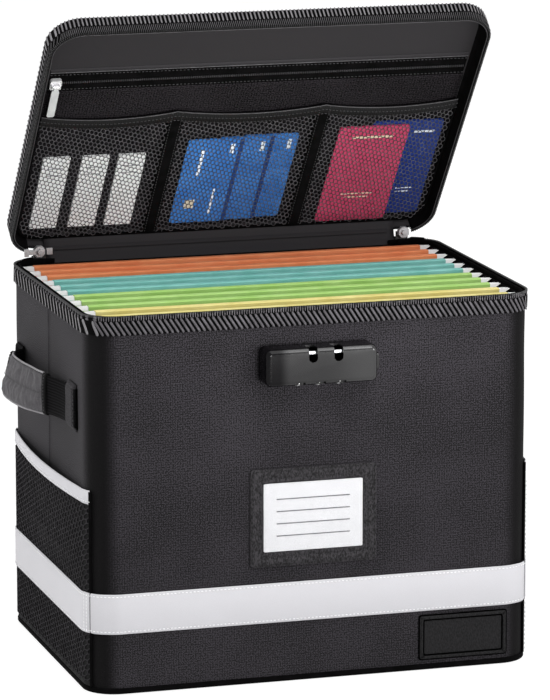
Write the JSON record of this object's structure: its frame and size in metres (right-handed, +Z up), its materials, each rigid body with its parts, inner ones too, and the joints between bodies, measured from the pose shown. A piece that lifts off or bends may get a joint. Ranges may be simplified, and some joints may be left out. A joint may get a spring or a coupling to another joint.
{
  "type": "portable file box",
  "caption": "Zipped fabric file box with a hinged lid, combination lock, carrying handles, side pockets and hanging folders.",
  "frame": {"origin": "middle of the underside of the box body, on the surface it stands on", "axes": "+X to the right seen from the lock, +Y from the lock to the hinge, +Z up"},
  "size_m": [0.406, 0.2857, 0.5007],
  "materials": {
    "body_fabric": "woven polyester over stiff board, fine grain",
    "stiff_board": "grey fibre board",
    "lining_fabric": "thin non-woven lining",
    "binding_webbing": "ribbed binding tape",
    "zip_coil": "moulded nylon coil",
    "zip_metal": "cast zinc, nickel plated",
    "mesh": "knitted polyester mesh",
    "reflective_tape": "pale reflective tape",
    "webbing": "black nylon webbing",
    "grip_fabric": "grey padded fabric",
    "leatherette": "grained leatherette with stitching",
    "clear_film": "clear film",
    "paper_card": "smooth card",
    "lock_black": "glossy moulded ABS",
    "lock_steel": "plated steel",
    "dial_black": "moulded nylon with white figures",
    "rail_plastic": "extruded black plastic",
    "hanger_white": "white coated hanger rods",
    "orange_paper": "coloured folder stock",
    "teal_paper": "coloured folder stock",
    "green_paper": "coloured folder stock",
    "yellow_paper": "coloured folder stock",
    "white_plastic": "smooth plastic",
    "blue_plastic": "smooth laminated card",
    "red_cover": "grained booklet cover",
    "navy_cover": "grained booklet cover"
  },
  "bodies": {
    "box": {"outer_shell": "body_fabric", "front_board": "stiff_board", "back_board": "stiff_board", "left_side_boards": "stiff_board", "right_side_boards": "stiff_board", "base_board": "stiff_board", "inner_lining": "lining_fabric", "bottom_piping": "binding_webbing", "rim_binding": "binding_webbing", "box_zip_teeth": "zip_coil", "hinge_fabric": "lining_fabric", "reflective_band": "reflective_tape", "left_mesh_pocket": "mesh", "right_mesh_pocket": "mesh", "pocket_trims": "reflective_tape", "left_handle_strap": "webbing", "right_handle_strap": "webbing", "handle_patches": "body_fabric", "label_frame": "leatherette", "label_window": "clear_film", "label_card": "paper_card", "badge_patch": "leatherette", "folder_rails": "rail_plastic", "rail_rivets": "lock_steel", "lock_base": "lock_black", "lock_cover": "lock_black", "lock_backing_plate": "lock_steel", "lock_screws": "lock_steel", "dial_axle": "lock_steel", "orange_folders": "orange_paper", "teal_folders": "teal_paper", "green_folders": "green_paper", "yellow_folders": "yellow_paper", "folder_hangers": "hanger_white"},
    "lid": {"lid_cover": "body_fabric", "lid_board": "stiff_board", "lid_lining": "lining_fabric", "lid_binding": "binding_webbing", "lid_zip_teeth": "zip_coil", "pocket_zip_tape": "zip_coil", "lid_mesh_pocket": "mesh", "lid_pocket_elastic": "binding_webbing", "white_cards": "white_plastic", "blue_cards": "blue_plastic", "red_booklet": "red_cover", "blue_booklet": "navy_cover"},
    "left_zip_slider": {"left_zip_slider": "zip_metal"},
    "left_zip_tab": {"left_zip_tab": "zip_metal"},
    "right_zip_slider": {"right_zip_slider": "zip_metal"},
    "right_zip_tab": {"right_zip_tab": "zip_metal"},
    "pocket_slider": {"pocket_zip_slider": "zip_metal"},
    "pocket_tab": {"pocket_zip_tab": "zip_metal"},
    "dial_left": {"dial_left": "dial_black"},
    "dial_middle": {"dial_middle": "dial_black"},
    "dial_right": {"dial_right": "dial_black"},
    "bolt": {"lock_bolt": "lock_steel"},
    "button": {"release_button": "lock_black"},
    "left_grip": {"left_handle_grip": "grip_fabric"},
    "right_grip": {"right_handle_grip": "grip_fabric"}
  },
  "joints": [
    {"name": "lid_hinge", "type": "hinge", "parent": "box", "child": "lid", "pos_m": [0, 0.1275, 0.292], "axis": [-1, 0, 0], "range_deg": [-51, 84]},
    {"name": "left_slider_turn", "type": "hinge", "parent": "box", "child": "left_zip_slider", "pos_m": [-0.151, 0.101, 0.292], "axis": [0, 0, 1], "range_deg": [0, 90]},
    {"name": "left_tab_swing", "type": "hinge", "parent": "left_zip_slider", "child": "left_zip_tab", "pos_m": [-0.151, 0.1309, 0.2885], "axis": [1, 0, 0], "range_deg": [0, 90]},
    {"name": "right_slider_turn", "type": "hinge", "parent": "box", "child": "right_zip_slider", "pos_m": [0.151, 0.101, 0.292], "axis": [0, 0, -1], "range_deg": [0, 90]},
    {"name": "right_tab_swing", "type": "hinge", "parent": "right_zip_slider", "child": "right_zip_tab", "pos_m": [0.151, 0.1309, 0.2885], "axis": [1, 0, 0], "range_deg": [0, 90]},
    {"name": "pocket_slider_travel", "type": "slide", "parent": "lid", "child": "pocket_slider", "axis": [1, 0, 0], "range_m": [0, 0.326]},
    {"name": "pocket_tab_swing", "type": "hinge", "parent": "pocket_slider", "child": "pocket_tab", "pos_m": [-0.163, 0.01509, 0.44289], "axis": [-1, 0, 0], "range_deg": [0, 150]},
    {"name": "dial_left_turn", "type": "hinge", "parent": "box", "child": "dial_left", "pos_m": [-0.017, -0.1355, 0.2398], "axis": [1, 0, 0], "continuous": true},
    {"name": "dial_middle_turn", "type": "hinge", "parent": "box", "child": "dial_middle", "pos_m": [-0.001, -0.1355, 0.2398], "axis": [1, 0, 0], "continuous": true},
    {"name": "dial_right_turn", "type": "hinge", "parent": "box", "child": "dial_right", "pos_m": [0.015, -0.1355, 0.2398], "axis": [1, 0, 0], "continuous": true},
    {"name": "release_press", "type": "slide", "parent": "box", "child": "button", "axis": [-1, 0, 0], "range_m": [0, 0.002], "stiffness_N_per_m": 300},
    {"name": "bolt_slide", "type": "slide", "parent": "box", "child": "bolt", "axis": [-1, 0, 0], "range_m": [0, 0.002]},
    {"name": "left_handle_swing", "type": "hinge", "parent": "box", "child": "left_grip", "pos_m": [-0.175, 0.015, 0.2145], "axis": [0, 1, 0], "range_deg": [-25, 25]},
    {"name": "right_handle_swing", "type": "hinge", "parent": "box", "child": "right_grip", "pos_m": [0.175, 0.015, 0.2145], "axis": [0, -1, 0], "range_deg": [-25, 25]}
  ],
  "couplings": [
    {"joint": "bolt_slide", "follows": "release_press", "ratio": 1}
  ]
}
